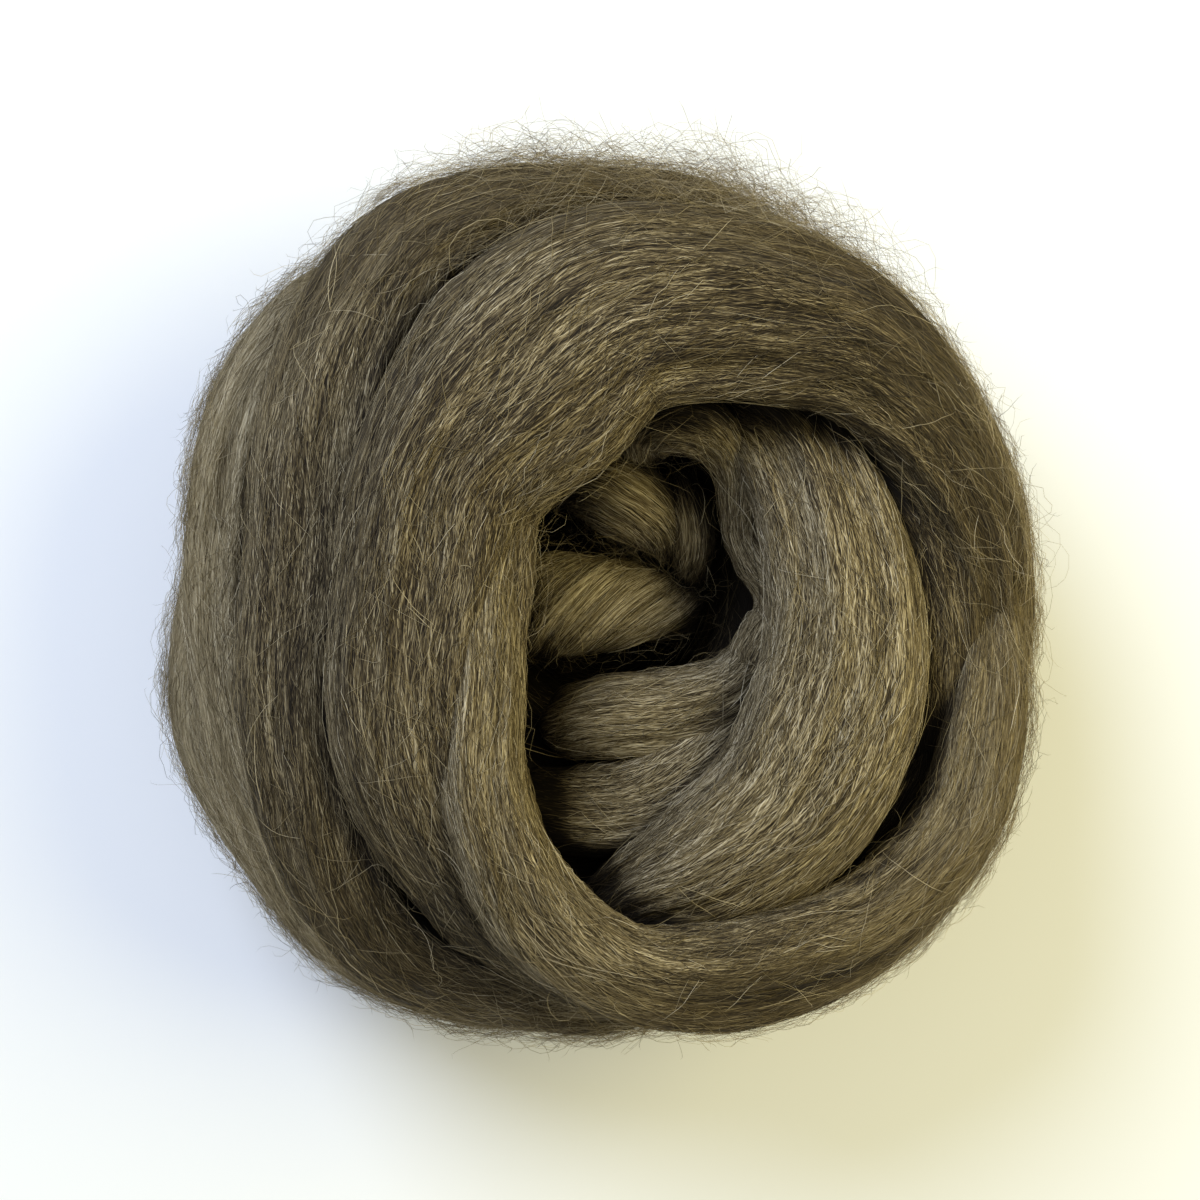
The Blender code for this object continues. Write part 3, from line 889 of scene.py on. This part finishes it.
def hair_path(turn, s, angle, reach, stations, random):
    """One hair's path from its root, and the direction that it stands up in."""
    steps = np.linspace(0, 1, stations)
    s, angle = s + random.normal(0, 1.5), angle + random.normal(0, 0.04)
    way = 1 if random.uniform() < 0.5 else -1
    near, normal, _ = turn.read(np.array([s, s + way]), np.array([angle, angle]), -HAIR_SINK)
    start, up = near[0], normal[0]
    ahead = unit(near[1] - near[0])
    swing = random.normal(0, 0.5)
    side = np.cross(up, ahead)
    ahead = unit(ahead * np.cos(swing) + side * np.sin(swing))
    side = np.cross(up, ahead)
    length = random.uniform(3.5, 9) + reach * 1.4
    height = 0.3 + min(random.gamma(2.2, 0.35) * reach, reach * 1.5)
    curl = random.gamma(3, 0.07 + 0.04 * reach)
    turned = 2 * pi * random.uniform(0.12, 0.28) * stations * steps
    phase = random.uniform(0, 2 * pi)
    wave = curl * (np.sin(turned + phase) - np.sin(phase))
    lift = curl * (np.cos(turned + phase) - np.cos(phase)) * 0.7
    rise = height * (np.sin(pi * steps) if random.uniform() < 0.6 else steps**1.3)
    along = length * (steps - random.uniform(0, 0.2) * np.sin(2 * pi * steps))
    sway = random.normal(0, 0.25) * length * steps**2
    path = start + np.outer(along, ahead) + np.outer(rise + lift, up) + np.outer(sway + wave, side)
    return path, up


def grow_hairs(turns, surface, places, chosen, stations, random):
    """Paths of fine curling hairs that leave the surface at the chosen places."""
    paths, normals = [], []
    for k, reach in chosen:
        index, s, angle = places[0][k]
        path, up = hair_path(turns[index], s, angle, reach, stations, random)
        paths.append(path)
        normals.append(np.tile(up, (stations, 1)))
    flat = np.concatenate(paths)
    spot, up, outside = surface.nearest(flat)
    low = outside < -HAIR_DEEPEST
    flat[low] = spot[low] - up[low] * HAIR_DEEPEST
    flat[:, 2] = np.maximum(flat[:, 2], HAIR_LOWEST)
    taper = np.clip(np.sin(pi * np.linspace(0, 1, stations)) * 3, 0.35, 1)[None, :]
    radius = random.choice(HAIR_RADII, (len(chosen), 1), p=HAIR_ODDS) * taper
    shade = random.normal(HAIR_SHADE, HAIR_SHADE_SPREAD, len(chosen))
    return flat.reshape(-1, stations, 3), np.array(normals), radius, np.clip(shade, 0, 1)


def new_material(name):
    material = bpy.data.materials.new(name)
    material.use_nodes = True
    nodes, links = material.node_tree.nodes, material.node_tree.links
    shader = nodes["Principled BSDF"]
    return material, nodes, links, shader


def add_ramp(nodes, stops):
    ramp = nodes.new("ShaderNodeValToRGB")
    elements = ramp.color_ramp.elements
    while len(elements) < len(stops):
        elements.new(0.5)
    for element, (place, colour) in zip(elements, stops):
        element.position = place
        element.color = (*colour, 1)
    return ramp


def add_maths(nodes, links, operation, first, second, clamp=False):
    """A maths node; each input is a number or an output to link."""
    node = nodes.new("ShaderNodeMath")
    node.operation = operation
    node.use_clamp = clamp
    for socket, value in zip(node.inputs, (first, second)):
        if isinstance(value, (int, float)):
            socket.default_value = value
        else:
            links.new(value, socket)
    return node.outputs[0]


# Linear colours of the fibre, from the painted shade deep in a crease to the palest tips
CREASE_SHADE_BROWN = (0.010, 0.007, 0.004)
DEEP_BROWN = (0.050, 0.036, 0.018)
MID_BROWN = (0.150, 0.114, 0.058)
TAUPE = (0.300, 0.244, 0.142)
PALE_TAN = (0.560, 0.480, 0.330)

CRIMP_BEND, STRAND_SHIFT = 0.0005, 0.035  # in metres on the flow map
# SHADOW sets how far the skin's colour is darkened where the openness is low, as painted shade
TONE_SHARE, SHADOW = 0.55, 0.34  # how much the tone and the openness change a skin's shade


def streaked_material():
    """The skin of a turn: crimped streaks of light and dark fibre along the flow map."""
    material, nodes, links, shader = new_material("combed_top")
    maths = partial(add_maths, nodes, links)
    flow = nodes.new("ShaderNodeUVMap")
    flow.uv_map = "flow"
    parts = nodes.new("ShaderNodeSeparateXYZ")
    links.new(flow.outputs["UV"], parts.inputs["Vector"])

    def noise(along, around, at):
        """Smooth noise with so many waves in a metre along and round the turn."""
        scale = nodes.new("ShaderNodeVectorMath")
        scale.operation = "MULTIPLY"
        scale.inputs[1].default_value = (along, around, 1)
        links.new(at, scale.inputs[0])
        texture = nodes.new("ShaderNodeTexNoise")
        texture.inputs["Scale"].default_value = 1.0
        texture.inputs["Detail"].default_value = 0.0
        links.new(scale.outputs[0], texture.inputs["Vector"])
        return texture.outputs["Fac"]

    def times(value, by):
        return maths("MULTIPLY", value, by)

    crimp = noise(300, 420, flow.outputs["UV"])
    bend = times(maths("SUBTRACT", crimp, 0.5), CRIMP_BEND)
    # Each strand starts at its own place along the turn, so that no bands run across it
    begins = times(noise(25, 1900, flow.outputs["UV"]), STRAND_SHIFT)

    def strands(slant, along, around):
        """Fine streaks that wander with the crimp and slant a little across the turn."""
        moved = maths("ADD", times(parts.outputs["X"], slant), bend)
        crimped = nodes.new("ShaderNodeCombineXYZ")
        links.new(maths("ADD", parts.outputs["X"], begins), crimped.inputs["X"])
        links.new(maths("ADD", parts.outputs["Y"], moved), crimped.inputs["Y"])
        crimped.inputs["Z"].default_value = 0.5
        return noise(along, around, crimped.outputs["Vector"])

    grain = maths("MAXIMUM", strands(0.10, 170, 9500), strands(-0.16, 200, 8000))
    middle = strands(0.02, 110, 5200)
    grain = maths("ADD", times(grain, 0.86), times(middle, 0.43))
    grain = maths("SUBTRACT", grain, 0.72)
    crisp = nodes.new("ShaderNodeAttribute")
    crisp.attribute_name = "grain"
    total = maths("MULTIPLY", grain, crisp.outputs["Fac"])
    total = maths("ADD", total, 0.495)
    tone = nodes.new("ShaderNodeAttribute")
    tone.attribute_name = "tone"
    shown = nodes.new("ShaderNodeAttribute")
    shown.attribute_name = "openness"
    toned = maths("ADD", total, times(tone.outputs["Fac"], TONE_SHARE))
    # Painted shade: the skin's colour is darkened in creases and hollows, where the openness is low
    painted_crease_shade = maths("ADD", times(shown.outputs["Fac"], SHADOW), -SHADOW)
    toned = maths("ADD", toned, painted_crease_shade, clamp=True)
    ramp = add_ramp(
        nodes,
        (
            (0.24, CREASE_SHADE_BROWN),
            (0.40, DEEP_BROWN),
            (0.52, MID_BROWN),
            (0.63, TAUPE),
            (0.80, PALE_TAN),
        ),
    )
    links.new(toned, ramp.inputs["Fac"])
    links.new(ramp.outputs["Color"], shader.inputs["Base Color"])
    rough = nodes.new("ShaderNodeMapRange")
    rough.inputs["To Min"].default_value = 0.9
    rough.inputs["To Max"].default_value = 0.6
    links.new(total, rough.inputs["Value"])
    links.new(rough.outputs["Result"], shader.inputs["Roughness"])
    bump = nodes.new("ShaderNodeBump")
    bump.inputs["Strength"].default_value = 0.9
    bump.inputs["Distance"].default_value = 0.00025
    links.new(grain, bump.inputs["Height"])
    links.new(bump.outputs["Normal"], shader.inputs["Normal"])
    shader.inputs["Specular IOR Level"].default_value = 0.15
    return material


def fibre_material(name, lift):
    """One fibre's finish: its row on the map gives its shade, and both its ends are darker as painted
    shade.
    """
    material, nodes, links, shader = new_material(name)
    maths = partial(add_maths, nodes, links)
    place = nodes.new("ShaderNodeUVMap")
    place.uv_map = "OFBake"
    parts = nodes.new("ShaderNodeSeparateXYZ")
    links.new(place.outputs["UV"], parts.inputs["Vector"])
    fleck = nodes.new("ShaderNodeTexNoise")
    fleck.inputs["Scale"].default_value = 14.0
    fleck.inputs["Detail"].default_value = 2.0
    links.new(place.outputs["UV"], fleck.inputs["Vector"])
    # Painted shade at both ends of each fibre, as if they dipped into the ball
    across = maths("SUBTRACT", parts.outputs["X"], 0.5)
    across = maths("ABSOLUTE", across, 0.0)
    ends = maths("MULTIPLY", maths("POWER", across, 2.0), -0.9)
    flecked = maths("MULTIPLY", fleck.outputs["Fac"], 0.16)
    total = maths("ADD", ends, flecked)
    total = maths("ADD", parts.outputs["Y"], total)
    stops = (
        (0.05, CREASE_SHADE_BROWN),
        (0.32, DEEP_BROWN),
        (0.58, MID_BROWN),
        (0.80, TAUPE),
        (1.0, PALE_TAN),
    )
    ramp = add_ramp(nodes, tuple((at, tuple(min(1, c * lift) for c in colour)) for at, colour in stops))
    links.new(total, ramp.inputs["Fac"])
    links.new(ramp.outputs["Color"], shader.inputs["Base Color"])
    shader.inputs["Roughness"].default_value = 0.5
    shader.inputs["Specular IOR Level"].default_value = 0.3
    shader.inputs["Specular Tint"].default_value = (1.0, 0.9, 0.7, 1)
    return material


def paper_material():
    """The pale sheet that the ball lies on, with the faintest mottling."""
    material, nodes, links, shader = new_material("white_paper")
    noise = nodes.new("ShaderNodeTexNoise")
    noise.inputs["Scale"].default_value = 6.0
    noise.inputs["Detail"].default_value = 3.0
    ramp = add_ramp(nodes, ((0.3, (0.86, 0.865, 0.87)), (0.7, (0.90, 0.90, 0.90))))
    links.new(noise.outputs["Fac"], ramp.inputs["Fac"])
    links.new(ramp.outputs["Color"], shader.inputs["Base Color"])
    shader.inputs["Roughness"].default_value = 0.9
    return material


HALF_FLOOR = 3.0


def add_floor():
    half = HALF_FLOOR
    corners = [(-half, -half, 0), (half, -half, 0), (half, half, 0), (-half, half, 0)]
    mesh = bpy.data.meshes.new("paper_floor")
    mesh.from_pydata(corners, [], [(0, 1, 2, 3)])
    mesh.materials.append(paper_material())
    floor = bpy.data.objects.new("paper_floor", mesh)
    bpy.context.scene.collection.objects.link(floor)


# A soft lamp: direction from above in degrees from +X, height in degrees, distance, size, power, colour
Lamp = namedtuple("Lamp", "name towards height distance size power colour")
LAMPS = (
    Lamp("cool_window", 126, 44, 1.25, 0.75, 15.3, (0.66, 0.76, 1.0)),
    Lamp("warm_room", 14, 38, 1.2, 1.0, 12.0, (0.99, 0.87, 0.36)),
)
ROOM_COLOUR = (0.97, 1.0, 0.95)
ROOM_STRENGTH = 0.46
AIM_HEIGHT = 0.03


def add_lights():
    aim = Vector((0, 0, AIM_HEIGHT))
    for lamp in LAMPS:
        light = bpy.data.lights.new(lamp.name, "AREA")
        light.shape = "DISK"
        light.size = lamp.size
        light.energy = lamp.power
        light.color = lamp.colour
        turned, high = radians(lamp.towards), radians(lamp.height)
        place = Vector((np.cos(turned) * np.cos(high), np.sin(turned) * np.cos(high), np.sin(high)))
        piece = bpy.data.objects.new(lamp.name, light)
        piece.location = aim + place * lamp.distance
        piece.rotation_euler = (-place).to_track_quat("-Z", "Y").to_euler()
        bpy.context.scene.collection.objects.link(piece)
    world = bpy.data.worlds.new("soft_room")
    bpy.context.scene.world = world
    world.use_nodes = True
    background = world.node_tree.nodes["Background"]
    background.inputs["Color"].default_value = (*ROOM_COLOUR, 1)
    background.inputs["Strength"].default_value = ROOM_STRENGTH


CAMERA_HEIGHT = 0.55
FRAME_WIDTH = 0.2256  # how much the photograph spans at the height of the ball's widest part
WIDEST_AT = 0.045
CAMERA_SHIFT = (-0.0004, -0.0006)  # how far the photograph's middle is from the outline's
SENSOR_WIDTH = 36


def add_camera():
    """Straight down over the ball, as in the photograph."""
    lens = bpy.data.cameras.new("camera")
    lens.sensor_width = SENSOR_WIDTH
    lens.lens = SENSOR_WIDTH * (CAMERA_HEIGHT - WIDEST_AT) / FRAME_WIDTH
    lens.clip_start = 0.01
    camera = bpy.data.objects.new("camera", lens)
    x, y = (shift - middle * MM for shift, middle in zip(CAMERA_SHIFT, OUTLINE_MIDDLE))
    camera.location = (x, y, CAMERA_HEIGHT)
    bpy.context.scene.collection.objects.link(camera)
    bpy.context.scene.camera = camera


def dress_ball():
    turns = make_turns()
    surface = Surface(NODE)
    random = np.random.default_rng(23)
    share = 1.0
    pieces = make_skins(turns, surface, streaked_material())
    laid = fibre_material("laid_fibre", 1.0)
    loose = fibre_material("loose_fibre", 1.1)
    paths, normals, radius, shade = laid_fibres(turns, surface, SHORT, share, random)
    half = len(paths) // 2 + 1
    for k in range(2):
        part = slice(k * half, (k + 1) * half)
        name = f"laid_fibres_{k + 1}"
        pieces.append(make_fibres(name, paths[part], normals[part], radius[part], shade[part], laid))
    pieces.append(make_fibres("long_fibres", *laid_fibres(turns, surface, LONG, share, random), laid))
    pieces.append(make_fibres("stray_fibres", *stray_fibres(turns, surface, share, random), loose))
    places = rim_spots(turns, surface, share, random)
    halo = grow_hairs(turns, surface, places, halo_choice(places, share, random), HALO_STATIONS, random)
    pieces.append(make_fibres("halo_fibres", *halo, loose))
    fuzz = grow_hairs(turns, surface, places, fuzz_choice(places, share, random), FUZZ_STATIONS, random)
    pieces.append(make_fibres("rim_fuzz", *fuzz, loose))
    for piece in pieces:
        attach(piece, "root")
        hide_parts(NODE)
        faces = piece.data.polygons
        print(piece.name, sum(len(face.vertices) - 2 for face in faces), "triangles")


dress_ball()
add_floor()
add_lights()
add_camera()
bpy.context.scene.view_settings.view_transform = "Standard"
